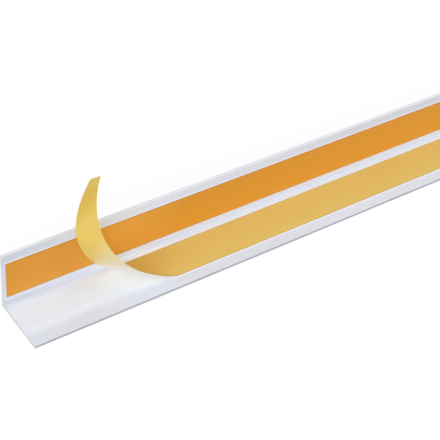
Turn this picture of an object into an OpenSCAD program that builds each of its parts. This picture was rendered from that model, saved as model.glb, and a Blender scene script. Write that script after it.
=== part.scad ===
// Self-adhesive PVC corner profile: an equal-leg angle with a strip of double-sided
// tape on the inner face of each leg. Each strip has its release liner on it. The liner
// on the flat leg is peeled back at the near cut end and curls up and over.
//
// Millimetres. X runs along the length, towards the far end. The flat leg lies on Z = 0
// and reaches towards -Y, and the upright leg stands at its +Y edge. The origin is the
// centre of the flat leg's outer face.

/* [Profile] */
// Width of the flat leg, over the outer corner
flat_leg_w = 20; // [20:1:60]
// Height of the upright leg, over the outer corner
upright_leg_h = 20; // [20:1:60]
// Wall thickness of both legs
wall = 1; // [0.8:0.1:2.5]
// Length of the piece of stock
length = 1000; // [200:50:3000]
// Rounding of each leg's free edge
edge_r = 0.2; // [0.1:0.05:0.45]
// Rounding of the outer corner
corner_r = 0.4; // [0.1:0.05:0.7]
// Fillet in the inner corner
fillet_r = 0.3; // [0.1:0.05:1]

/* [Tape] */
// Width of each strip of tape and of its liner
tape_w = 13; // [8:0.5:16]
// Thickness of the tape
tape_t = 0.15; // [0.15:0.05:0.8]
// Thickness of the release liner
liner_t = 0.08; // [0.08:0.02:0.2]
// Gap between the inner corner and the tape on the flat leg
flat_tape_gap = 2; // [1.2:0.1:3]
// Gap between the inner corner and the tape on the upright leg
upright_tape_gap = 2.9; // [1.2:0.1:3]
// How far the tape stops short of each cut end
tape_end_gap = 1; // [0:0.5:5]

/* [Peeled liner] */
// Where the liner's back edge leaves the tape, from the near cut end
peel_back = 36; // [30:1:60]
// Where the liner's front edge leaves the tape, from the near cut end
peel_front = 51; // [40:1:80]
// Height of the tip's back corner above the upright leg's top edge
tip_above_leg = 11.4; // [6:0.2:30]
// How far the front edge is pulled back towards the near cut end as it curls
curl_reach = 30; // [22:1:36]
// How far the tip's front corner leans over towards the upright leg
curl_lean = 11.4; // [4:0.2:14]
// Rings of facets along the curl
curl_rings = 40; // [16:4:64]

/* [Hidden] */
$fn = 48;

near_x = -length / 2;
tape_l = length - 2 * tape_end_gap;
outer_y = flat_leg_w / 2;
inner_y = outer_y - wall;
flat_tape_y = inner_y - flat_tape_gap;
upright_tape_z = wall + upright_tape_gap;
liner_z = wall + tape_t;
tip_z = upright_leg_h + tip_above_leg;
// A free edge is at most almost half round
free_edge_r = min(edge_r, 0.46 * wall);

pvc_colour = [0.93, 0.94, 0.96];
tape_colour = [0.95, 0.94, 0.92];
liner_colour = [0.87, 0.62, 0.24];
peeled_colour = [0.88, 0.72, 0.38];

// The curl is a strip of film whose two long edges follow smooth curves, pulled by guide
// points. Each guide point is placed from where its edge leaves the tape, by its share of
// the reach along X, of the lean across Y and of the tip's height along Z.
back_guides = [
    [0.027, 0, 0], [0.259, -0.081, 0.084], [0.393, -0.108, 0.407], [0.653, -0.069, 0.628], [0.131, 0.696, 1]
];
front_guides = [
    [0.075, 0, 0], [0.695, -0.019, 0.276], [1, 0.13, 0.684], [0.862, 0.704, 1.11], [0.707, 1, 1.286]
];

function lerp(a, b, t) = a + (b - a) * t;
function unit(v) = v / norm(v);

// Point at t on the smooth curve through the first and last guide points
function curve(p, t) =
    len(p) == 1 ? p[0]
    : curve([for (i = [0 : len(p) - 2]) lerp(p[i], p[i + 1], t)], t);

// Guide points of one edge in place, starting where it leaves the tape
function placed(guides, start) =
    concat([start], [for (g = guides)
        [start.x - g.x * curl_reach, start.y + g.y * curl_lean, lerp(start.z, tip_z, g.z)]]);

// Four corners of the film across one ring, from its edge points and its upper side
function ring(b, f, up) =
    let (h = up * liner_t / 2)
    [b - h, f - h, f + h, b + h];

// One end of the profile's section: a wall with its free edge rounded
module rounded_wall(reach) {
    square([reach - free_edge_r, wall]);
    translate([0, free_edge_r]) square([reach, wall - 2 * free_edge_r]);
    for (y = [free_edge_r, wall - free_edge_r])
        translate([reach - free_edge_r, y]) circle(free_edge_r);
}

// L section, drawn with its outer corner at the origin and its legs along +X and +Y
module section() {
    difference() {
        union() {
            rounded_wall(flat_leg_w);
            mirror([1, -1]) rounded_wall(upright_leg_h);
            square(wall + fillet_r);
        }
        translate([wall + fillet_r, wall + fillet_r]) circle(fillet_r);
        square(corner_r);
    }
    intersection() {
        square(corner_r);
        translate([corner_r, corner_r]) circle(corner_r);
    }
}

// The extruded PVC angle
module profile() {
    color(pvc_colour)
        translate([near_x, outer_y, 0])
            rotate([90, 0, 90])
                linear_extrude(length) mirror([1, 0]) section();
}

// A flat strip on the flat leg's inner face, t thick, its underside at height z
module flat_strip(t, z) {
    translate([near_x + tape_end_gap, flat_tape_y - tape_w, z]) cube([tape_l, tape_w, t]);
}

// A flat strip on the upright leg's inner face, t thick, its back at distance d from it
module upright_strip(t, d) {
    translate([near_x + tape_end_gap, inner_y - d - t, upright_tape_z]) cube([tape_l, t, tape_w]);
}

module flat_tape() {
    color(tape_colour) flat_strip(tape_t, wall);
}

module upright_tape() {
    color(tape_colour) upright_strip(tape_t, 0);
}

module upright_liner() {
    color(liner_colour) upright_strip(liner_t, tape_t);
}

// The flat leg's liner: one film, flat on the tape from the far end, then the curl
module flat_liner() {
    z = liner_z + liner_t / 2;
    back_y = flat_tape_y;
    front_y = flat_tape_y - tape_w;
    far_x = near_x + tape_end_gap + tape_l;
    back = placed(back_guides, [near_x + peel_back, back_y, z]);
    front = placed(front_guides, [near_x + peel_front, front_y, z]);
    rings = concat(
        [ring([far_x, back_y, z], [far_x, front_y, z], [0, 0, 1])],
        [for (i = [0 : curl_rings])
            let (
                t = i / curl_rings,
                b = curve(back, t),
                f = curve(front, t),
                step = 0.001,
                ahead = curve(back, t + step) + curve(front, t + step) - b - f
            )
            ring(b, f, unit(cross(ahead, f - b)))]
    );
    n = len(rings);
    sides = [for (i = [0 : n - 2], k = [0 : 3])
        let (a = 4 * i + k, b = 4 * i + (k + 1) % 4)
        each [[a, b, b + 4], [a, b + 4, a + 4]]];
    ends = [[3, 2, 1, 0], [for (k = [0 : 3]) 4 * (n - 1) + k]];
    color(peeled_colour) polyhedron([for (r = rings) each r], concat(sides, ends));
}

profile();
upright_tape();
upright_liner();
flat_tape();
flat_liner();
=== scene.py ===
"""Dresses a self-adhesive PVC corner profile: an angle with a taped inner face on each leg
and an amber release liner on each tape, one of them peeled back into a curl."""

import bpy
import numpy as np
from mathutils import Matrix, Vector


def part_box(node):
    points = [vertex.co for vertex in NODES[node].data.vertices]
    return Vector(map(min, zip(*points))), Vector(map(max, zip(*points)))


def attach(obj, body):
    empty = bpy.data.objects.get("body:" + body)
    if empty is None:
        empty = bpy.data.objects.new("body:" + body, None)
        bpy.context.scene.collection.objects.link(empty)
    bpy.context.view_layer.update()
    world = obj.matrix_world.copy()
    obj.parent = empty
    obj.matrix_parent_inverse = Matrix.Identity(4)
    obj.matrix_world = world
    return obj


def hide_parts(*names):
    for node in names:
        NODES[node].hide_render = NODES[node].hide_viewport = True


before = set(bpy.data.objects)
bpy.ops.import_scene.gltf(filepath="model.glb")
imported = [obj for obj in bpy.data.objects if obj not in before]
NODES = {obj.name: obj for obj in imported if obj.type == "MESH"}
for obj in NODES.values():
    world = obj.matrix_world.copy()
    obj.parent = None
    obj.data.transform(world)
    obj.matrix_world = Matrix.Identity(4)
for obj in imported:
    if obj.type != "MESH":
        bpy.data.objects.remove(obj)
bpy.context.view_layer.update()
MM = 0.001
X, Y, Z = 0, 1, 2

bl_info = {
    "name": "Taped corner profile",
    "version": (1, 0, 0),
    "blender": (4, 5, 0),
    "location": "View3D > Sidebar > Profile",
    "description": "Builds the finish, the tapes and the peeled liner of a PVC corner profile",
    "category": "Object",
}


def low(node, axis):
    """Lowest coordinate of a CAD node along one axis."""
    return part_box(node)[0][axis]


def high(node, axis):
    """Highest coordinate of a CAD node along one axis."""
    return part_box(node)[1][axis]


class ProfileSettings(bpy.types.PropertyGroup):
    """The extruded angle."""

    wall: bpy.props.FloatProperty(
        name="Wall", description="Thickness of both legs", default=1.0 * MM, unit="LENGTH"
    )
    edge_radius: bpy.props.FloatProperty(
        name="Edge radius", description="Rounding of each leg's free edge", default=0.2 * MM, unit="LENGTH"
    )
    corner_radius: bpy.props.FloatProperty(
        name="Corner radius", description="Rounding of the outer corner", default=0.4 * MM, unit="LENGTH"
    )
    fillet_radius: bpy.props.FloatProperty(
        name="Fillet radius", description="Fillet in the inner corner", default=0.3 * MM, unit="LENGTH"
    )
    cut_chamfer: bpy.props.FloatProperty(
        name="Cut chamfer", description="Broken edge round each cut end", default=0.06 * MM, unit="LENGTH"
    )
    colour: bpy.props.FloatVectorProperty(
        name="Colour", description="White of the PVC", subtype="COLOR", default=(0.63, 0.655, 0.733)
    )
    top_colour: bpy.props.FloatVectorProperty(
        name="Top colour", description="Warmer white of the upright leg's free edge", subtype="COLOR",
        default=(0.617, 0.625, 0.65),
    )
    # The cut colour is partly the chalky white of the saw cuts and partly painted light on the end faces
    cut_colour: bpy.props.FloatVectorProperty(
        name="Cut colour", description="Chalky white of the saw cuts", subtype="COLOR",
        default=(0.90, 0.905, 0.945),
    )
    roughness: bpy.props.FloatProperty(
        name="Roughness", description="Satin of the extruded faces", default=0.36, subtype="FACTOR"
    )
    cut_roughness: bpy.props.FloatProperty(
        name="Cut roughness", description="Matt of the saw cuts", default=0.62, subtype="FACTOR"
    )


class TapeSettings(bpy.types.PropertyGroup):
    """The two strips of double-sided tape."""

    bead: bpy.props.FloatProperty(
        name="Bead", description="How far the soft adhesive creeps out past its liner", default=0.4 * MM,
        unit="LENGTH",
    )
    creep: bpy.props.FloatProperty(
        name="Creep", description="How far the flat strip's adhesive thins out towards the inner corner",
        default=1.7 * MM, unit="LENGTH",
    )
    end_creep: bpy.props.FloatProperty(
        name="End creep", description="How far the flat strip's adhesive thins out towards each cut end",
        default=0.9 * MM, unit="LENGTH",
    )
    skin: bpy.props.FloatProperty(
        name="Skin", description="Thickness of the adhesive at its rim", default=0.008 * MM, unit="LENGTH"
    )
    slump: bpy.props.FloatProperty(
        name="Slump", description="How much wider the soft border is where the liner is off",
        default=4 * MM, unit="LENGTH",
    )
    feather: bpy.props.FloatProperty(
        name="Feather", description="Width over which the strip's border fades into the PVC",
        default=2.4 * MM, unit="LENGTH",
    )
    colour: bpy.props.FloatVectorProperty(
        name="Colour", description="White of the adhesive", subtype="COLOR", default=(0.706, 0.752, 0.825)
    )
    # Painted counter to the amber bounce light: a bluer white on the bare adhesive near the inner corner and
    # in a band before the peel line
    cool_colour: bpy.props.FloatVectorProperty(
        name="Cool colour", description="White of the bare adhesive near the inner corner",
        subtype="COLOR", default=(0.73, 0.84, 0.97),
    )
    # Painted light: a less blue white in the gap between the flat liner and the inner corner, where light
    # bounces in the corner
    warm_colour: bpy.props.FloatVectorProperty(
        name="Warm colour", description="White of the adhesive between the liner and the inner corner",
        subtype="COLOR", default=(0.74, 0.745, 0.755),
    )
    # Painted light: a paler, warmer white on the adhesive where the curl's shadow falls, near the peel line
    # and in the gap beyond it
    fresh_colour: bpy.props.FloatVectorProperty(
        name="Fresh colour", description="White of the adhesive that the peel has just bared",
        subtype="COLOR", default=(0.95, 0.925, 0.85),
    )
    roughness: bpy.props.FloatProperty(
        name="Roughness", description="Soft shine of the adhesive", default=0.32, subtype="FACTOR"
    )


class LinerSettings(bpy.types.PropertyGroup):
    """The amber release film."""

    # Upright colour and flat colour are copies of one film's amber, and the difference between them is
    # painted light: the flat run paler and yellower, the upright film deeper
    upright_colour: bpy.props.FloatVectorProperty(
        name="Upright colour", description="Amber of the film against its tape", subtype="COLOR",
        default=(0.66, 0.28, 0.028),
    )
    # Painted light: a paler amber on the upright film behind the curl, where the curl shades it
    painted_light_colour: bpy.props.FloatVectorProperty(
        name="Sheltered colour", description="Paler amber of the upright film behind the curl",
        subtype="COLOR", default=(0.74, 0.345, 0.052),
    )
    lit_flat_colour: bpy.props.FloatVectorProperty(
        name="Flat colour", description="Amber of the peeled film's flat run", subtype="COLOR",
        default=(0.655, 0.45, 0.117),
    )
    free_colour: bpy.props.FloatVectorProperty(
        name="Free colour", description="Yellow of the film where it is free of its tape", subtype="COLOR",
        default=(0.885, 0.74, 0.23),
    )
    # Painted shadow of the curl on the flat run near the peel line
    curl_shadow_colour: bpy.props.FloatVectorProperty(
        name="Root colour", description="Deeper amber where the flat run bends up", subtype="COLOR",
        default=(0.58, 0.345, 0.075),
    )
    curl_shadow_length: bpy.props.FloatProperty(
        name="Root length", description="How far that deeper amber reaches along the flat run",
        default=22 * MM, unit="LENGTH",
    )
    tip_colour: bpy.props.FloatVectorProperty(
        name="Tip colour", description="Deeper yellow at the peeled tip", subtype="COLOR",
        default=(0.85, 0.652, 0.07),
    )
    # Painted reflection of the white tape below: a pale colour on the curl's underside near the peel line
    tape_reflection_colour: bpy.props.FloatVectorProperty(
        name="Bloom colour", description="Pale trace of adhesive left on the underside", subtype="COLOR",
        default=(0.96, 0.96, 0.97),
    )
    reflection_full: bpy.props.FloatProperty(
        name="Full bloom", description="Share of the peel that is pale all over", default=0.3,
        subtype="FACTOR",
    )
    reflection_back: bpy.props.FloatProperty(
        name="Bloom at back", description="Share of the peel where the pale trace ends at the back edge",
        default=0.42, subtype="FACTOR",
    )
    reflection_front: bpy.props.FloatProperty(
        name="Bloom at front", description="Share of the peel where the pale trace ends at the front edge",
        default=0.67, subtype="FACTOR",
    )
    border: bpy.props.FloatProperty(
        name="Border", description="Width of the darker border along the film's cut edges",
        default=0.5 * MM, unit="LENGTH",
    )
    border_tone: bpy.props.FloatProperty(
        name="Border tone", description="How dark that border is at the edge", default=0.78, subtype="FACTOR"
    )
    roughness: bpy.props.FloatProperty(
        name="Roughness", description="Shine of the film", default=0.3, subtype="FACTOR"
    )
    translucency: bpy.props.FloatProperty(
        name="Translucency", description="Share of light let through where the film is free", default=0.4,
        subtype="FACTOR",
    )
    across: bpy.props.IntProperty(name="Across", description="Faces across the film", default=16)
    curl_rings: bpy.props.IntProperty(name="Curl rings", description="Rings along the curl", default=220)
    run_rings: bpy.props.IntProperty(name="Run rings", description="Rings along the flat run", default=300)


class PeelSettings(bpy.types.PropertyGroup):
    """Where the flat leg's liner leaves its tape, and how far it curls."""

    back: bpy.props.FloatProperty(
        name="Back edge", description="Peeled length along the back edge", default=36 * MM, unit="LENGTH"
    )
    front: bpy.props.FloatProperty(
        name="Front edge", description="Peeled length along the front edge", default=51 * MM, unit="LENGTH"
    )
    tip_above_leg: bpy.props.FloatProperty(
        name="Tip above leg", description="Height of the tip above the upright leg", default=11.4 * MM,
        unit="LENGTH",
    )
    reach: bpy.props.FloatProperty(
        name="Reach", description="How far the front edge is pulled back towards the near end",
        default=30 * MM, unit="LENGTH",
    )
    lean: bpy.props.FloatProperty(
        name="Lean", description="How far the tip leans towards the upright leg", default=11.4 * MM,
        unit="LENGTH",
    )


class StageSettings(bpy.types.PropertyGroup):
    """Camera, lamps and floor."""

    azimuth: bpy.props.FloatProperty(name="Azimuth", description="Camera azimuth in degrees", default=-38.53)
    elevation: bpy.props.FloatProperty(
        name="Elevation", description="Camera elevation in degrees", default=40.2
    )
    roll: bpy.props.FloatProperty(name="Roll", description="Camera roll in degrees", default=5.85)
    distance: bpy.props.FloatProperty(
        name="Distance", description="Camera to its target", default=393.7 * MM, unit="LENGTH"
    )
    lens: bpy.props.FloatProperty(name="Lens", description="Focal length in millimetres", default=100.05)
    target: bpy.props.FloatVectorProperty(
        name="Target", description="Point the camera looks at", subtype="TRANSLATION",
        default=(-422.47 * MM, 10.0 * MM, 0.29 * MM),
    )
    world_strength: bpy.props.FloatProperty(name="World", description="Light from all round", default=0.4)
    left_power: bpy.props.FloatProperty(name="Left lamp", description="Power in watts", default=5.5)
    low_power: bpy.props.FloatProperty(name="Low left lamp", description="Power in watts", default=5)
    front_power: bpy.props.FloatProperty(name="Front lamp", description="Power in watts", default=10.2)
    end_power: bpy.props.FloatProperty(name="Near end lamp", description="Power in watts", default=2.6)
    right_power: bpy.props.FloatProperty(name="Right lamp", description="Power in watts", default=6)
    back_power: bpy.props.FloatProperty(name="Back lamp", description="Power in watts", default=2)
    behind_power: bpy.props.FloatProperty(
        name="Behind lamp", description="Power in watts, behind the middle of the length", default=5
    )
    cool: bpy.props.FloatVectorProperty(
        name="Cool light", description="Colour of the world and of the right lamp", subtype="COLOR",
        default=(0.97, 0.985, 1.0),
    )
    floor_bounce: bpy.props.FloatProperty(
        name="Floor bounce", description="How pale the floor is to the light it throws back", default=0.15,
        subtype="FACTOR",
    )
    floor_lift: bpy.props.FloatProperty(
        name="Floor lift", description="How far the seen floor is lifted to white", default=0.82,
        subtype="FACTOR",
    )


# Guide points of the curl's edges, placed from where that edge leaves the tape: the share of
# the reach towards the near end, of the lean across and of the tip's height
BACK_GUIDES = (
    (0.027, 0, 0), (0.259, -0.081, 0.084), (0.393, -0.108, 0.407), (0.653, -0.069, 0.628), (0.131, 0.696, 1),
)
FRONT_GUIDES = (
    (0.075, 0, 0), (0.695, -0.019, 0.276), (1, 0.13, 0.684), (0.862, 0.704, 1.11), (0.707, 1, 1.286),
)

# Stations along the angle, and steps in its arcs
ANGLE_STATIONS = 60
EDGE_STEPS = 10
CORNER_STEPS = 8

# Stations along an adhesive strip, in each soft border and across the middle between them
STRIP_STATIONS = 700
BORDER_STATIONS = 17
MIDDLE_STATIONS = 10
# How deep a strip's underside is sunk into its leg
SUNK = 0.01 * MM

# Tones along the length, each a distance from the near end in millimetres and the share there.
# Painted shade in the inner corner, deepest near the near end, and painted light beside the curl's foot,
# where the share is above 1
CORNER_SHADE_AND_LIGHT = (
    (0, 0.77), (8, 0.75), (16, 0.87), (24, 0.91), (34, 1.0), (40, 1.24), (44, 1.17), (50, 0.97), (58, 0.91),
)
# Painted light and shade on the upright leg's inner face above its tape and below it: darker near the near
# end and lighter behind the curl
MARGIN_LIGHT_AND_SHADE = ((0, 0.91), (14, 0.93), (20, 1.03), (40, 1.08), (60, 1.05), (90, 1.03), (130, 0.97))
FOOT_LIGHT_AND_SHADE = ((0, 0.98), (30, 1.0), (38, 1.2), (43, 1.17), (50, 1.04), (60, 1.0))
# Share of the painted light colour, a paler amber, that the upright film has behind the curl
FILM_PAINTED_LIGHT = ((0, 0), (28, 0), (36, 0.95), (40, 0.9), (50, 0.45), (60, 0))

# Noise patterns: their waves to a metre along each axis, their detail and their roughness
DIE_LINES = ((5, 1900, 1900), 3.0, 0.6)
SAW_MARKS = ((60, 900, 5200), 2.0, 0.6)
PVC_CLOUD = ((18, 90, 90), 2.0, 0.5)
# Speckles of the painted shade on the flat leg's front face
FRONT_SHADE_SPECKLE = ((420, 420, 420), 4.0, 0.7)
DIMPLES = ((900, 900, 900), 3.0, 0.55)
ADHESIVE_CLOUD = ((60, 160, 160), 2.0, 0.5)
LAID_CLOUD = ((14, 60, 60), 2.0, 0.5)
LAID_STREAKS = ((10, 700, 700), 3.0, 0.55)
PEELED_CLOUD = ((18, 70, 1), 2.0, 0.5)
PEELED_STREAKS = ((10, 700, 1), 3.0, 0.55)

# Share of its colour that a finish keeps where it is darkest
CLOUD_TONE = 0.97
FILM_TONE = 0.96
CHALK_TONE = 0.95
# The next two are the painted shade on the flat leg's front face, lighter and deeper
FRONT_SHADE_TONE = 0.66
DEEP_FRONT_SHADE_TONE = 0.54

# Lamps round the camera's target: azimuth and elevation in degrees, and size in metres
LAMPS = {
    "left": (-135, 45, 1.7),
    "low": (-135, 18, 1.0),
    "front": (-72, 36, 1.7),
    "end": (180, 15, 1.0),
    "right": (0, 45, 1.7),
    "back": (80, 15, 0.7),
}
# The same for the lamp behind the middle of the length
BEHIND_LAMP = (90, 12, 1.0)
LAMP_DISTANCE = 1.2
WHITE = (1, 1, 1)

# Half the floor's side, the distances between which it is lifted to white, and how pale it is
FLOOR_HALF = 4.0
FLOOR_NEAR, FLOOR_FAR = 0.6, 1.6
FLOOR_PALE = (0.9, 0.9, 0.9)


def share_between(value, start, end):
    """0 at a start and beyond it, 1 at an end and beyond it, and even between them. The end may
    be the lower of the two."""
    return np.clip((value - start) / (end - start), 0, 1)


def mesh_object(name, points, faces, smooth_faces=0):
    """A new object at the origin with that mesh. Its first faces are smooth, up to a count,
    and the edges that they share with the flat quads after them are sharp."""
    mesh = bpy.data.meshes.new(name)
    mesh.from_pydata(points.tolist(), [], faces)
    mesh.validate()
    mesh.update()
    mesh.polygons.foreach_set("use_smooth", np.arange(len(mesh.polygons)) < smooth_faces)
    if smooth_faces:
        flat = np.array(faces[smooth_faces:])
        pairs = np.sort(np.stack([flat, np.roll(flat, -1, 1)], 2).reshape(-1, 2), 1)
        edges = np.empty(2 * len(mesh.edges), int)
        mesh.edges.foreach_get("vertices", edges)
        edges = np.sort(edges.reshape(-1, 2), 1)
        code = [len(points), 1]
        mesh.edges.foreach_set("use_edge_sharp", np.isin(edges @ code, pairs @ code))
    piece = bpy.data.objects.new(name, mesh)
    bpy.context.scene.collection.objects.link(piece)
    return piece


def arc(centre, radius, start, end, steps):
    """Points on a circle from one angle in degrees to another."""
    angles = np.radians(np.linspace(start, end, steps + 1))
    return np.stack([centre[0] + radius * np.cos(angles), centre[1] + radius * np.sin(angles)], 1)


def offset_outline(outline, distance):
    """The outline moved inwards by distance, each point along the mean of its sides' normals."""
    ahead = np.roll(outline, -1, 0) - outline
    ahead /= np.linalg.norm(ahead, axis=1)[:, None]
    mean = ahead + np.roll(ahead, 1, 0)
    mean /= np.linalg.norm(mean, axis=1)[:, None]
    return outline + distance * np.stack([-mean[:, 1], mean[:, 0]], 1)


def carried_outline(outline, stations, insets):
    """A closed outline in Y and Z carried along X: at each station the outline is drawn
    inwards by that station's inset. Quads join neighbouring stations and the ends are capped."""
    rings = [
        np.column_stack([np.full(len(outline), x), offset_outline(outline, inset) if inset else outline])
        for x, inset in zip(stations, insets)
    ]
    count = len(outline)
    ring = np.arange(count)
    ahead = (ring + 1) % count
    base = np.arange(len(stations) - 1)[:, None] * count
    quads = np.stack([base + ring, base + ahead, base + ahead + count, base + ring + count], 2)
    faces = quads.reshape(-1, 4).tolist()
    faces.append(ring[::-1].tolist())
    faces.append((ring + (len(stations) - 1) * count).tolist())
    return np.vstack(rings), faces


def angle_outline(profile):
    """The L section, anticlockwise in Y and Z: straight walls joined by circular arcs."""
    outer, front = high("profile", Y), low("profile", Y)
    top, base = high("profile", Z), low("profile", Z)
    inner = outer - profile.wall
    floor = base + profile.wall
    edge, corner, fillet = profile.edge_radius, profile.corner_radius, profile.fillet_radius
    return np.vstack([
        arc((front + edge, base + edge), edge, 180, 270, EDGE_STEPS),
        arc((outer - corner, base + corner), corner, 270, 360, CORNER_STEPS),
        arc((outer - edge, top - edge), edge, 0, 90, EDGE_STEPS),
        arc((inner + edge, top - edge), edge, 90, 180, EDGE_STEPS),
        arc((inner - fillet, floor + fillet), fillet, 360, 270, CORNER_STEPS),
        arc((front + edge, floor - edge), edge, 90, 180, EDGE_STEPS),
    ])


def bezier(guides, t):
    """Points at t on the curve through the first and last guide points: each guide point
    weighted by its Bernstein polynomial."""
    line = np.repeat(guides[:, None, :], len(t), 1)
    while len(line) > 1:
        line = line[:-1] + (line[1:] - line[:-1]) * t[None, :, None]
    return line[0]


def film_edge(guides, start, liner, peel):
    """One long edge of the peeled liner. It runs straight from the far end to the start, where
    it leaves the tape, at stations by the power 1.5 of an even share. Then it follows the curve
    that the guide points pull."""
    tip_height = high("profile", Z) + peel.tip_above_leg
    full = np.array([-peel.reach, peel.lean, tip_height - start[Z]])
    placed = np.vstack([start, start + np.array(guides) * full])
    curl = bezier(placed, np.linspace(0, 1, liner.curl_rings + 1))
    share = np.linspace(1, 0, liner.run_rings + 1)[:-1, None] ** 1.5
    far_end = np.array([high("flat_liner", X), start[Y], start[Z]])
    return np.vstack([start + (far_end - start) * share, curl])


def film_grid(liner, peel):
    """Middle surface of the peeled liner on a grid of rings by points across, with half its
    thickness as a vector to its upper side, and the length along the film. Each ring is a
    straight line between the film's two edges."""
    thickness = high("upright_liner", Y) - low("upright_liner", Y)
    near, z = low("profile", X), high("flat_tape", Z) + thickness / 2
    back_start = np.array([near + peel.back, high("flat_tape", Y), z])
    front_start = np.array([near + peel.front, low("flat_tape", Y), z])
    back = film_edge(BACK_GUIDES, back_start, liner, peel)[:, None, :]
    front = film_edge(FRONT_GUIDES, front_start, liner, peel)[:, None, :]
    grid = back + (front - back) * np.linspace(0, 1, liner.across + 1)[None, :, None]
    up = np.cross(np.gradient(grid, axis=0), front - back)
    up /= np.linalg.norm(up, axis=2, keepdims=True)
    steps = np.linalg.norm(np.diff(grid, axis=0), axis=2)
    length = np.concatenate([np.zeros((1, liner.across + 1)), np.cumsum(steps, 0)])
    return grid, up * thickness / 2, length


def closed_shell(top, bottom):
    """Closed shell between two grids: a top sheet, a bottom sheet, and a wall of quads round
    the rim. Also gives how many of its faces are smooth, which is all but the wall's."""
    rows, cols = top.shape[:2]
    index = np.arange(rows * cols).reshape(rows, cols)
    a, b, c, d = index[:-1, :-1], index[:-1, 1:], index[1:, 1:], index[1:, :-1]
    upper = np.stack([a, d, c, b], 2).reshape(-1, 4)
    lower = np.stack([a, b, c, d], 2).reshape(-1, 4) + rows * cols
    rim = np.concatenate([index[0, :-1], index[:-1, -1], index[-1, :0:-1], index[:0:-1, 0]])
    after = np.roll(rim, -1)
    wall = np.stack([rim, after, after + rows * cols, rim + rows * cols], 1)
    points = np.vstack([top.reshape(-1, 3), bottom.reshape(-1, 3)])
    return points, np.vstack([upper, lower, wall]).tolist(), 2 * len(upper)


def flank(distance, width):
    """Height share of a soft border: 0 at the rim, 1 from that width on, and half a cosine
    wave between them."""
    return 0.5 - 0.5 * np.cos(np.pi * np.clip(distance / width, 0, 1))


def over_leg(node, x, across, height):
    """Points at a height over the leg that a strip lies on."""
    if node == "upright_tape":
        return np.stack([x, high(node, Y) - height, across], 2)
    return np.stack([x, across, low(node, Z) + height], 2)


def adhesive_sheets(node, tape, bare_back, bare_front):
    """Top surface of one strip of adhesive, and its flat underside, sunk a little into the
    leg. The strip is the node's box widened by the bead, and on the flat leg by the creep at
    its corner side and at its ends. Its height over the leg rises from a thin skin to the
    tape's thickness by the product of the flanks of the distances to the long edges and to
    the ends. The bead swells and thins along the strip by the product of two sine waves. Each
    long edge slumps over its bare length, which the liner has left, and evenly less over the
    last 6 mm of it. Also gives the distance from the rims where the strip fades."""
    upright = node == "upright_tape"
    across_axis, height_axis = (Z, Y) if upright else (Y, Z)
    corner_creep = tape.bead if upright else tape.creep
    end_creep = tape.bead if upright else tape.end_creep
    near, far = low(node, X) - end_creep, high(node, X) + end_creep
    width = high(node, across_axis) - low(node, across_axis) + tape.bead + corner_creep
    border = np.linspace(0, 1, BORDER_STATIONS) ** 1.6 * 2 * tape.feather
    even = np.linspace(near, far, STRIP_STATIONS)[2:-2]
    along = np.unique(np.concatenate([near + border, even, far - border[::-1]]).round(7))
    middle = np.linspace(border[-1], width - border[-1], MIDDLE_STATIONS)[1:-1]
    across = np.concatenate([border, middle, width - border[::-1]])
    x, side = np.meshgrid(along, across, indexing="ij")
    end = np.minimum(x - near, far - x)
    swell, long_wave, short_wave = 0.3, 6.3 * MM, 2.3 * MM
    bead = tape.bead * (1 + swell * np.sin(x / long_wave) * np.sin(x / short_wave))
    fade = 6 * MM
    back_slump = tape.slump * share_between(x, bare_back, bare_back - fade)
    front_slump = tape.slump * share_between(x, bare_front, bare_front - fade)
    share = flank(side, bead + front_slump)
    share *= flank(width - side, (bead if upright else tape.creep) + back_slump)
    share *= flank(end, end_creep + back_slump)
    thickness = high(node, height_axis) - low(node, height_axis)
    place = low(node, across_axis) - tape.bead + side
    top = over_leg(node, x, place, tape.skin + (thickness - tape.skin) * share)
    underside = over_leg(node, x, place, np.full(x.shape, -SUNK))
    rim = np.minimum(np.minimum(side, width - side), end) if upright else side
    return top, underside, rim


def inner_share(node, grid, rim, tape):
    """How much of its own white each point of an adhesive strip has: rising evenly from 0 at
    the rim to 1 over the feather. On the flat leg's corner side it rises over 0.6 mm, and over
    2.2 mm in the first 14 mm of the length, with an even change over the next 10 mm. The wider
    rise near the near end lets the darker PVC white through, a painted shade in the corner there."""
    share = share_between(rim, 0, tape.feather)
    if node == "upright_tape":
        return share
    # The wider reach near the near end is a painted shade in the corner there
    narrow, shaded_reach = 0.6 * MM, 2.2 * MM
    shaded_end, narrow_start = 14 * MM, 24 * MM
    from_near = grid[..., X] - low("profile", X)
    from_corner = grid[..., Y].max() - grid[..., Y]
    reach = narrow + (shaded_reach - narrow) * share_between(from_near, narrow_start, shaded_end)
    return np.minimum(share, share_between(from_corner, 0, reach))


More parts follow.
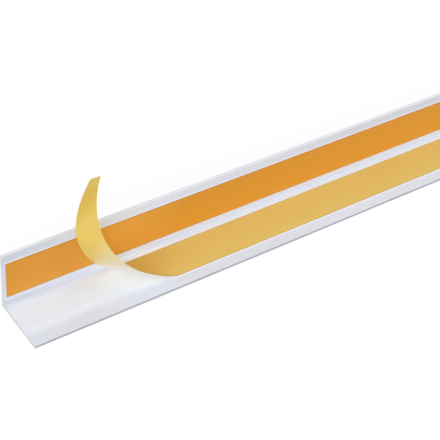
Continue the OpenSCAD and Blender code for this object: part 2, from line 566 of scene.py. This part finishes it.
def adhesive_tones(node, grid, bare_back, bare_front):
    """How much painted colour each point of an adhesive strip has: cool, a bluer white that
    counters the amber bounce light; gap light, a painted warm light; and shadow fill, painted
    light in the curl's shadow. The upright strip has none. On the flat leg the bare length is
    cool, falling evenly from 1 at the corner side to 0 over 11 mm, and in a slanting band 10 mm
    to each side of a line that runs from 25 mm to 19 mm from the near end. The band has 0.9 at
    the back edge and a quarter of that at the front. The cool share rises from 0.4 to its full
    value in the first 12 mm. The covered length has gap light, from 1 at the corner side to 0
    over 4 mm. Shadow fill falls evenly from 1 at the peel line, which runs straight across, to 0
    over 16 mm of the bare length, and by a third from the back edge to the front. On the bare
    length cool and shadow fill are nothing up to 0.8 mm from the corner side and full from 3 mm
    on. Beyond the peel line shadow fill is the gap light share 13 mm from that line, falling
    evenly to nothing 10 mm to each side of there."""
    if node == "upright_tape":
        return dict.fromkeys(("cool", "warm", "fresh"), np.zeros(grid.shape[:2]))
    cool_reach, gap_light_reach, shadow_fill_reach, near_reach = 11 * MM, 4 * MM, 16 * MM, 12 * MM
    nothing_end, full_start = 0.8 * MM, 3 * MM
    slant_back, slant_front, band_reach = 25 * MM, 19 * MM, 10 * MM
    band_share, near_share = 0.9, 0.4
    beyond_place, beyond_reach = 13 * MM, 10 * MM
    from_near = grid[..., X] - low("profile", X)
    from_corner = grid[..., Y].max() - grid[..., Y]
    across = (high(node, Y) - grid[..., Y]) / (high(node, Y) - low(node, Y))
    ahead = bare_back + (bare_front - bare_back) * across - grid[..., X]
    inside = share_between(from_corner, nothing_end, full_start)
    slant = slant_back + (slant_front - slant_back) * across
    band = share_between(np.abs(from_near - slant), band_reach, 0) * (1 - 0.75 * across)
    # cool counters the amber bounce light on the bare adhesive
    cool = np.maximum(share_between(from_corner, cool_reach, 0), band_share * band) * inside
    cool *= near_share + (1 - near_share) * share_between(from_near, 0, near_reach)
    # gap light is painted light in the corner gap
    warm = share_between(from_corner, gap_light_reach, 0)
    fresh = share_between(ahead, shadow_fill_reach, 0) * inside * (1 - across / 3)
    beyond = warm * share_between(np.abs(ahead + beyond_place), beyond_reach, 0)
    bare = ahead > 0
    return {
        "cool": np.where(bare, cool, 0),
        "warm": np.where(bare, 0, warm),
        "fresh": np.where(bare, fresh, beyond),
    }


def free_share(grid):
    """How free of its tape each point of the film is: 0 on the flat run, rising evenly to 1
    over the first two millimetres of height."""
    return share_between(grid[..., Z] - grid[0, 0, Z], 0, 2 * MM)


def peel_share(grid, liner):
    """Place of each point along the peel: negative on the flat run, 0 where the film leaves the
    tape and 1 at the tip."""
    place = (np.arange(grid.shape[0]) - liner.run_rings) / liner.curl_rings
    return np.broadcast_to(place[:, None], grid.shape[:2])


def tape_reflection_share(grid, liner):
    """How much painted reflection of the white tape each point of the film's underside has: 1 over
    the first part of the peel, falling evenly to 0 at an end that moves out from the back edge to
    the front edge by the power 0.7 of the place across."""
    v = np.linspace(0, 1, grid.shape[1])
    end = liner.reflection_back + (liner.reflection_front - liner.reflection_back) * v ** 0.7
    place = peel_share(grid, liner)
    return np.where(place < 0, 0, share_between(place, end, liner.reflection_full))


def curl_shadow_share(length, liner):
    """Painted shadow of the curl: how much of it each point of the film has, falling evenly from 1
    at the peel line to 0 at the curl shadow length, times 1 less 1.6 times the power 1.6 of the
    place across, which is 0 near the front edge."""
    v = np.linspace(0, 1, length.shape[1])
    away = length[liner.run_rings] - length
    return share_between(away, liner.curl_shadow_length, 0) * np.clip(1 - 1.6 * v ** 1.6, 0, 1)


def tip_share(grid, liner):
    """How deep the film's yellow is at each point: 0 up to 0.78 of the peel, and from there
    rising evenly to 1 at 0.92 of it."""
    start, full = 0.78, 0.92
    return share_between(peel_share(grid, liner), start, full)


def film_map(piece, length, width):
    """A UV map in metres: the length along the film and the place across it, the same for both
    sheets."""
    v = np.broadcast_to(np.linspace(0, width, length.shape[1]), length.shape)
    place = np.tile(np.stack([length, v], 2).reshape(-1, 2), (2, 1))
    corners = np.empty(len(piece.data.loops), int)
    piece.data.loops.foreach_get("vertex_index", corners)
    piece.data.uv_layers.new(name="film").data.foreach_set("uv", place[corners].reshape(-1))


def store(piece, name, top, bottom):
    """One number for each vertex of the two sheets, as a named attribute."""
    values = np.stack([top, bottom]).reshape(-1)
    piece.data.attributes.new(name, "FLOAT", "POINT").data.foreach_set("value", values)


def new_material(name):
    """A node material with its node tree and its Principled shader."""
    material = bpy.data.materials.new(name)
    material.use_nodes = True
    return material, material.node_tree, material.node_tree.nodes["Principled BSDF"]


def feed(tree, socket, value):
    """Joins an input to the socket that drives it, or sets it to a constant. A constant colour
    is three numbers."""
    if isinstance(value, bpy.types.NodeSocket):
        tree.links.new(value, socket)
    else:
        socket.default_value = (*value, 1) if socket.type == "RGBA" else value


def add_node(tree, kind, *inputs, **values):
    """A node with its first inputs fed in order, and its properties and named inputs set."""
    node = tree.nodes.new(kind)
    for key, value in values.items():
        if key in node.inputs:
            feed(tree, node.inputs[key], value)
        else:
            setattr(node, key, value)
    for socket, value in zip(node.inputs, inputs):
        feed(tree, socket, value)
    return node


def object_place(tree):
    """Object coordinates."""
    return add_node(tree, "ShaderNodeTexCoord").outputs["Object"]


def attribute(tree, name):
    """The number that a piece stores under a name."""
    return add_node(tree, "ShaderNodeAttribute", attribute_name=name).outputs["Fac"]


def split(tree, vector):
    """The three numbers of a vector."""
    return add_node(tree, "ShaderNodeSeparateXYZ", vector).outputs


def length_of(tree, vector):
    """Length of a vector."""
    return add_node(tree, "ShaderNodeVectorMath", vector, operation="LENGTH").outputs["Value"]


def maths(tree, operation, *numbers, use_clamp=False):
    """The result of one operation on numbers."""
    step = add_node(tree, "ShaderNodeMath", *numbers, operation=operation, use_clamp=use_clamp)
    return step.outputs["Value"]


def noise_on(tree, place, scale, detail, roughness):
    """Noise on some coordinates stretched by a scale for each axis."""
    stretched = add_node(tree, "ShaderNodeMapping", place, Scale=scale).outputs["Vector"]
    noise = add_node(tree, "ShaderNodeTexNoise", stretched, Scale=1.0, Detail=detail, Roughness=roughness)
    return noise.outputs["Fac"]


def ramp_between(tree, value, start, end, first=0.0, last=1.0):
    """The first number up to a start, the last one from an end on, and even between them."""
    return add_node(tree, "ShaderNodeMapRange", value, start, end, first, last).outputs["Result"]


def border_share(tree, place, middle, half, width):
    """0 inside a strip, rising evenly to 1 over the last width before its two edges. The strip
    reaches half its breadth to each side of the middle."""
    distance = maths(tree, "ABSOLUTE", maths(tree, "SUBTRACT", place, middle))
    return ramp_between(tree, distance, half - width, half)


def scaled(colour, tone):
    """A colour times a tone."""
    return tuple(tone * part for part in colour)


def ramped(tree, factor, stops):
    """A colour that changes evenly from stop to stop of a factor, each a place and a colour."""
    ramp = add_node(tree, "ShaderNodeValToRGB", factor)
    elements = ramp.color_ramp.elements
    for place, colour in stops[1:-1]:
        elements.new(place)
    for element, (place, colour) in zip(elements, stops):
        element.position = place
        element.color = (*colour, 1)
    return ramp.outputs["Color"]


def mottled(tree, noise, colour, tone):
    """A colour that noise darkens to a tone of itself."""
    return ramped(tree, noise, ((0.3, scaled(colour, tone)), (0.7, colour)))


def toned_along(tree, colour, stops):
    """A colour times a tone that changes evenly between stations along the length. Each stop is
    its distance from the near end in millimetres and the tone there."""
    near, reach = low("profile", X), stops[-1][0]
    along = ramp_between(tree, split(tree, object_place(tree))[X], near, near + reach * MM)
    return ramped(tree, along, [(station / reach, scaled(colour, tone)) for station, tone in stops])


def blended(tree, factor, first, second):
    """A colour between two by a factor. Each colour is a socket or three numbers."""
    mix = add_node(tree, "ShaderNodeMix", factor, data_type="RGBA")
    for socket, colour in zip((i for i in mix.inputs if i.type == "RGBA"), (first, second)):
        feed(tree, socket, colour)
    return next(o for o in mix.outputs if o.type == "RGBA")


def mixed(tree, factor, first, second):
    """Two shaders mixed by a factor."""
    return add_node(tree, "ShaderNodeMixShader", factor, first, second).outputs["Shader"]


def set_finish(tree, shader, colour, roughness, height, depth, specular):
    """Gives a shader its colour, its roughness, its relief at a real depth in metres and its
    specular level."""
    bump = add_node(tree, "ShaderNodeBump", Height=height, Distance=depth, Strength=1.0)
    feed(tree, shader.inputs["Base Color"], colour)
    feed(tree, shader.inputs["Roughness"], roughness)
    feed(tree, shader.inputs["Normal"], bump.outputs["Normal"])
    feed(tree, shader.inputs["Specular IOR Level"], specular)


def from_inner_corner(tree, place, profile):
    """Distance from the line in which the two inner faces would meet."""
    corner = (0, profile.wall - high("profile", Y), -low("profile", Z) - profile.wall)
    centred = add_node(tree, "ShaderNodeMapping", place, Location=corner, Scale=(0, 1, 1))
    return length_of(tree, centred.outputs["Vector"])


def extruded_colour(tree, place, profile):
    """Colour of the extruded faces: white with a faint unevenness. The inner corner has painted
    shade, deepest near the near end, and painted light beside the curl's foot. The upright leg's
    inner face has painted light and shade along its length above and below its tape, that leg's
    free edge is warmer, and the flat leg's front face is darkened in speckles, a painted shade."""
    parts = split(tree, place)
    white = mottled(tree, noise_on(tree, place, *PVC_CLOUD), profile.colour, CLOUD_TONE)
    above, below = high("upright_tape", Z), low("upright_tape", Z)
    inner_face = white
    # Painted light and shade along the upright leg's inner face, above and below its tape
    for start, end, tones in ((above - MM, above, MARGIN_LIGHT_AND_SHADE), (below + MM, below, FOOT_LIGHT_AND_SHADE)):
        level = ramp_between(tree, parts[Z], start, end)
        inner_face = blended(tree, level, inner_face, toned_along(tree, profile.colour, tones))
    face_reach, face_fade = 0.3 * MM, 0.2 * MM
    inner_y = high("profile", Y) - profile.wall
    off_face = border_share(tree, parts[Y], inner_y, face_reach, face_fade)
    clear = blended(tree, off_face, inner_face, white)
    # Painted shade in the inner corner, and painted light beside the curl's foot
    corner_shade_full, corner_shade_end = 0.3 * MM, 2.2 * MM
    off_corner = ramp_between(tree, from_inner_corner(tree, place, profile), corner_shade_full, corner_shade_end)
    plain = blended(tree, off_corner, toned_along(tree, profile.colour, CORNER_SHADE_AND_LIGHT), clear)
    top, flat_top = high("profile", Z), 0.05 * MM
    on_top = ramp_between(tree, parts[Z], top - profile.edge_radius, top - flat_top)
    plain = blended(tree, on_top, plain, profile.top_colour)
    # Painted shade: the flat leg's front face and its rounded edges are darkened, in speckles
    speckle_low, speckle_high = 0.48, 0.75
    speckle = noise_on(tree, place, *FRONT_SHADE_SPECKLE)
    deep_shade_share = ramp_between(tree, speckle, speckle_low, speckle_high)
    front_shade, deep_front_shade = scaled(profile.colour, FRONT_SHADE_TONE), scaled(profile.colour, DEEP_FRONT_SHADE_TONE)
    front, flat_front = low("profile", Y), 0.02 * MM
    off_front = ramp_between(tree, parts[Y], front + flat_front, front + profile.edge_radius)
    return blended(tree, off_front, blended(tree, deep_shade_share, front_shade, deep_front_shade), plain)


def pvc_material(profile):
    """White PVC: satin, with fine die lines along its length. The cut ends, where the normal
    is along X, carry saw marks and a much paler white, partly chalky and partly painted light."""
    material, tree, shader = new_material("extruded_pvc")
    place = object_place(tree)
    lines = noise_on(tree, place, *DIE_LINES)
    marks = noise_on(tree, place, *SAW_MARKS)
    normal = add_node(tree, "ShaderNodeNewGeometry").outputs["True Normal"]
    along = maths(tree, "ABSOLUTE", split(tree, normal)[X])
    face_turn, cut_turn = 0.4, 0.9
    sawn = ramp_between(tree, along, face_turn, cut_turn)
    # Partly the chalky saw cuts and partly painted light on the end faces
    chalk = mottled(tree, marks, profile.cut_colour, CHALK_TONE)
    colour = blended(tree, sawn, extruded_colour(tree, place, profile), chalk)
    satin = ramp_between(tree, lines, 0, 1, profile.roughness - 0.06, profile.roughness + 0.08)
    roughness = blended(tree, sawn, satin, (profile.cut_roughness,) * 3)
    grain = blended(tree, sawn, lines, marks)
    set_finish(tree, shader, colour, roughness, grain, depth=0.009 * MM, specular=0.25)
    return material


def tape_material(tape, pvc_colour):
    """White acrylic adhesive: soft, faintly dimpled, and as white as the PVC at its borders,
    where it thins out."""
    material, tree, shader = new_material("adhesive_tape")
    place = object_place(tree)
    dimples = noise_on(tree, place, *DIMPLES)
    white = mottled(tree, noise_on(tree, place, *ADHESIVE_CLOUD), tape.colour, CLOUD_TONE)
    # Painted tones: cool counters the amber bounce light, and gap light and shadow fill are painted light
    for name in ("cool", "warm", "fresh"):
        white = blended(tree, attribute(tree, name), white, getattr(tape, name + "_colour"))
    colour = blended(tree, attribute(tree, "inner"), pvc_colour, white)
    roughness = ramp_between(tree, dimples, 0, 1, tape.roughness - 0.05, tape.roughness + 0.1)
    set_finish(tree, shader, colour, roughness, dimples, depth=0.02 * MM, specular=0.3)
    return material


def film_finish(tree, shader, colour, streaks, liner):
    """Finish of the release film: satin, with faint drawing streaks."""
    roughness = ramp_between(tree, streaks, 0, 1, liner.roughness - 0.05, liner.roughness + 0.08)
    set_finish(tree, shader, colour, roughness, streaks, depth=0.01 * MM, specular=0.2)


def laid_film_material(liner):
    """Amber release film that still lies on its tape, with a darker border along its cut edges
    and painted light, a paler amber, behind the curl."""
    material, tree, shader = new_material("laid_release_film")
    place = object_place(tree)
    amber = mottled(tree, noise_on(tree, place, *LAID_CLOUD), liner.upright_colour, FILM_TONE)
    # Painted light on the upright film behind the curl
    film = blended(tree, toned_along(tree, WHITE, FILM_PAINTED_LIGHT), amber, liner.painted_light_colour)
    base, half = low("upright_liner", Z), (high("upright_liner", Z) - low("upright_liner", Z)) / 2
    border = border_share(tree, split(tree, place)[Z], base + half, half, liner.border)
    colour = blended(tree, border, film, scaled(liner.upright_colour, liner.border_tone))
    film_finish(tree, shader, colour, noise_on(tree, place, *LAID_STREAKS), liner)
    return material


def peeled_film_material(liner):
    """The same film where it is peeled: yellower once it is free of the tape and lets light
    through. Its flat run has a paler amber than the upright film, a painted light, and a painted
    shadow of the curl near the peel line. Its underside near the peel line has a pale painted
    reflection of the white tape, which lets a quarter of that light through."""
    material, tree, shader = new_material("peeled_release_film")
    place = add_node(tree, "ShaderNodeUVMap", uv_map="film").outputs["UV"]
    free, bloom = attribute(tree, "free"), attribute(tree, "bloom")
    # The flat run's paler amber is painted light
    amber = mottled(tree, noise_on(tree, place, *PEELED_CLOUD), liner.lit_flat_colour, FILM_TONE)
    # Painted shadow of the curl on the flat run, by the stored root share
    laid = blended(tree, attribute(tree, "root"), amber, liner.curl_shadow_colour)
    half = (high("flat_tape", Y) - low("flat_tape", Y)) / 2
    border = border_share(tree, split(tree, place)[Y], half, half, liner.border)
    laid = blended(tree, border, laid, scaled(liner.lit_flat_colour, liner.border_tone))
    yellow = blended(tree, attribute(tree, "tip"), liner.free_colour, liner.tip_colour)
    # Painted reflection of the white tape on the underside near the peel line
    colour = blended(tree, bloom, blended(tree, free, laid, yellow), liner.tape_reflection_colour)
    film_finish(tree, shader, colour, noise_on(tree, place, *PEELED_STREAKS), liner)
    through = add_node(tree, "ShaderNodeBsdfTranslucent", colour)
    let_through = ramp_between(tree, free, 0, 1, 0.0, liner.translucency)
    reflection_clear = 0.25
    share = maths(tree, "MULTIPLY", let_through, ramp_between(tree, bloom, 0, 1, 1.0, reflection_clear))
    surface = mixed(tree, share, shader.outputs["BSDF"], through.outputs["BSDF"])
    feed(tree, tree.nodes["Material Output"].inputs["Surface"], surface)
    return material


def coat(piece, material):
    """Gives a piece its one material."""
    piece.data.materials.clear()
    piece.data.materials.append(material)


class PROFILE_OT_angle(bpy.types.Operator):
    """Build the PVC angle with its rounded edges"""

    bl_idname = "profile.angle"
    bl_label = "PVC angle"

    def execute(self, context):
        profile = context.scene.profile_angle
        near, far = low("profile", X), high("profile", X)
        chamfer = profile.cut_chamfer
        between_cuts = np.linspace(near + chamfer, far - chamfer, ANGLE_STATIONS)
        stations = [near, *between_cuts, far]
        insets = [chamfer] + [0] * len(between_cuts) + [chamfer]
        points, faces = carried_outline(angle_outline(profile), stations, insets)
        piece = mesh_object("pvc_angle", points, faces)
        coat(piece, pvc_material(profile))
        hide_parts("profile")
        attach(piece, "root")
        return {"FINISHED"}


class PROFILE_OT_tapes(bpy.types.Operator):
    """Build the two strips of adhesive, with the soft bead that creeps out past each liner"""

    bl_idname = "profile.tapes"
    bl_label = "Tapes"

    def execute(self, context):
        tape = context.scene.profile_tape
        peel = context.scene.profile_peel
        near = low("profile", X)
        material = tape_material(tape, context.scene.profile_angle.colour)
        for node in ("upright_tape", "flat_tape"):
            bare = (near + peel.back, near + peel.front) if node == "flat_tape" else (near, near)
            top, underside, rim = adhesive_sheets(node, tape, *bare)
            piece = mesh_object(node.replace("tape", "adhesive"), *closed_shell(top, underside))
            shares = {"inner": inner_share(node, top, rim, tape), **adhesive_tones(node, top, *bare)}
            for name, share in shares.items():
                store(piece, name, share, share)
            coat(piece, material)
            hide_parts(node)
            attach(piece, "root")
        return {"FINISHED"}


class PROFILE_OT_upright_liner(bpy.types.Operator):
    """Give the upright leg's liner its amber film"""

    bl_idname = "profile.upright_liner"
    bl_label = "Upright liner"

    def execute(self, context):
        coat(NODES["upright_liner"], laid_film_material(context.scene.profile_liner))
        return {"FINISHED"}


class PROFILE_OT_peeled_liner(bpy.types.Operator):
    """Build the flat leg's liner, with its peeled end curling up and over"""

    bl_idname = "profile.peeled_liner"
    bl_label = "Peeled liner"

    def execute(self, context):
        liner = context.scene.profile_liner
        grid, half_up, length = film_grid(liner, context.scene.profile_peel)
        piece = mesh_object("peeled_liner", *closed_shell(grid + half_up, grid - half_up))
        film_map(piece, length, high("flat_tape", Y) - low("flat_tape", Y))
        # root holds the painted shadow of the curl on the flat run
        free, tip, root = free_share(grid), tip_share(grid, liner), curl_shadow_share(length, liner)
        for name, share in (("free", free), ("tip", tip), ("root", root)):
            store(piece, name, share, share)
        # Painted reflection of the white tape, on the underside only
        bloom = tape_reflection_share(grid, liner)
        store(piece, "bloom", np.zeros(bloom.shape), bloom)
        coat(piece, peeled_film_material(liner))
        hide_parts("flat_liner")
        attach(piece, "root")
        return {"FINISHED"}


def camera_axes(stage):
    """Right, up and back directions of the camera, and its place, from azimuth, elevation and
    roll about a target: azimuth 0 looks along +Y."""
    azimuth, elevation, roll = np.radians([stage.azimuth, stage.elevation, stage.roll])
    back = np.array([
        np.sin(azimuth) * np.cos(elevation),
        -np.cos(azimuth) * np.cos(elevation),
        np.sin(elevation),
    ])
    right = np.cross(-back, [0, 0, 1])
    right /= np.linalg.norm(right)
    up = np.cross(back, right)
    turned_right = np.cos(roll) * right + np.sin(roll) * up
    turned_up = np.cos(roll) * up - np.sin(roll) * right
    return turned_right, turned_up, back, np.array(stage.target) + stage.distance * back


def make_camera(stage):
    """The photograph's camera."""
    right, up, back, place = camera_axes(stage)
    data = bpy.data.cameras.new("camera")
    data.lens = stage.lens
    data.sensor_width = 36
    data.clip_start = 0.01
    data.clip_end = 20
    camera = bpy.data.objects.new("camera", data)
    matrix = Matrix(np.column_stack([right, up, back]).tolist()).to_4x4()
    matrix.translation = Vector(place)
    camera.matrix_world = matrix
    bpy.context.scene.collection.objects.link(camera)
    bpy.context.scene.camera = camera


def make_lamp(name, aim, azimuth, elevation, size, power, colour=WHITE):
    """A square area lamp at the lamp distance from aim and turned to it: azimuth 0 is at +X
    and 90 at +Y."""
    data = bpy.data.lights.new(name, "AREA")
    data.size = size
    data.energy = power
    data.color = colour
    lamp = bpy.data.objects.new(name, data)
    turn, rise = np.radians([azimuth, elevation])
    away = np.array([np.cos(turn) * np.cos(rise), np.sin(turn) * np.cos(rise), np.sin(rise)])
    lamp.location = np.array(aim) + LAMP_DISTANCE * away
    lamp.rotation_euler = Vector(-away).to_track_quat("-Z", "Y").to_euler()
    bpy.context.scene.collection.objects.link(lamp)


def seen_rays(tree):
    """1 for rays from the camera and for those that a shiny or clear surface passes on."""
    path = add_node(tree, "ShaderNodeLightPath").outputs
    total = path["Is Camera Ray"]
    for kind in ("Is Glossy Ray", "Is Transmission Ray"):
        total = maths(tree, "ADD", total, path[kind], use_clamp=True)
    return total


def floor_material(stage):
    """Pale floor that keeps the shadow and is lifted to white where it is seen, and wholly so
    away from the object. What it throws back on the object is less, so that the undersides
    stay a little darker."""
    material, tree, shader = new_material("white_floor")
    tree.nodes.remove(shader)
    bounce = add_node(tree, "ShaderNodeBsdfDiffuse", (stage.floor_bounce,) * 3)
    pale = add_node(tree, "ShaderNodeBsdfDiffuse", FLOOR_PALE)
    glow = add_node(tree, "ShaderNodeEmission", WHITE, 1.0)
    away = length_of(tree, object_place(tree))
    lift = ramp_between(tree, away, FLOOR_NEAR, FLOOR_FAR, stage.floor_lift, 1.0)
    seen = mixed(tree, lift, pale.outputs["BSDF"], glow.outputs["Emission"])
    surface = mixed(tree, seen_rays(tree), bounce.outputs["BSDF"], seen)
    feed(tree, tree.nodes["Material Output"].inputs["Surface"], surface)
    return material


def make_world(stage):
    """Even light from all round, and plain white where the camera or a reflection sees it."""
    world = bpy.data.worlds.new("studio")
    world.use_nodes = True
    bpy.context.scene.world = world
    tree = world.node_tree
    lit = tree.nodes["Background"]
    feed(tree, lit.inputs["Color"], stage.cool)
    feed(tree, lit.inputs["Strength"], stage.world_strength)
    seen = add_node(tree, "ShaderNodeBackground", WHITE, 1.0)
    surface = mixed(tree, seen_rays(tree), lit.outputs["Background"], seen.outputs["Background"])
    feed(tree, tree.nodes["World Output"].inputs["Surface"], surface)


class PROFILE_OT_stage(bpy.types.Operator):
    """Set the floor, the light and the camera"""

    bl_idname = "profile.stage"
    bl_label = "Stage"

    def execute(self, context):
        stage = context.scene.profile_stage
        square = FLOOR_HALF * np.array([(-1, -1), (1, -1), (1, 1), (-1, 1)])
        corners = np.column_stack([square, np.full(4, low("profile", Z))])
        floor = mesh_object("floor", corners, [(0, 1, 2, 3)])
        coat(floor, floor_material(stage))
        make_world(stage)
        for side, (azimuth, elevation, size) in LAMPS.items():
            power = getattr(stage, side + "_power")
            colour = stage.cool if side == "right" else WHITE
            make_lamp(side + "_lamp", stage.target, azimuth, elevation, size, power, colour)
        make_lamp("behind_lamp", (0, 0, 0), *BEHIND_LAMP, stage.behind_power)
        make_camera(stage)
        context.scene.view_settings.view_transform = "Standard"
        return {"FINISHED"}


class PROFILE_PT_panel(bpy.types.Panel):
    """Lists the operators in the sidebar"""

    bl_idname = "PROFILE_PT_panel"
    bl_label = "Corner profile"
    bl_space_type = "VIEW_3D"
    bl_region_type = "UI"
    bl_category = "Profile"

    def draw(self, context):
        for operator in OPERATORS:
            self.layout.operator(operator.bl_idname)


SETTINGS = {
    "profile_angle": ProfileSettings,
    "profile_tape": TapeSettings,
    "profile_liner": LinerSettings,
    "profile_peel": PeelSettings,
    "profile_stage": StageSettings,
}
OPERATORS = (
    PROFILE_OT_angle,
    PROFILE_OT_tapes,
    PROFILE_OT_upright_liner,
    PROFILE_OT_peeled_liner,
    PROFILE_OT_stage,
)


def register():
    """Registers the classes and hangs the settings on the scene."""
    for cls in (*SETTINGS.values(), *OPERATORS, PROFILE_PT_panel):
        bpy.utils.register_class(cls)
    for name, cls in SETTINGS.items():
        setattr(bpy.types.Scene, name, bpy.props.PointerProperty(type=cls))


def unregister():
    """Takes the settings and the classes away again."""
    for name in SETTINGS:
        delattr(bpy.types.Scene, name)
    for cls in reversed((*SETTINGS.values(), *OPERATORS, PROFILE_PT_panel)):
        bpy.utils.unregister_class(cls)


def main():
    """Builds every piece and the stage."""
    register()
    bpy.ops.profile.angle()
    bpy.ops.profile.tapes()
    bpy.ops.profile.upright_liner()
    bpy.ops.profile.peeled_liner()
    bpy.ops.profile.stage()


if __name__ == "__main__":
    main()
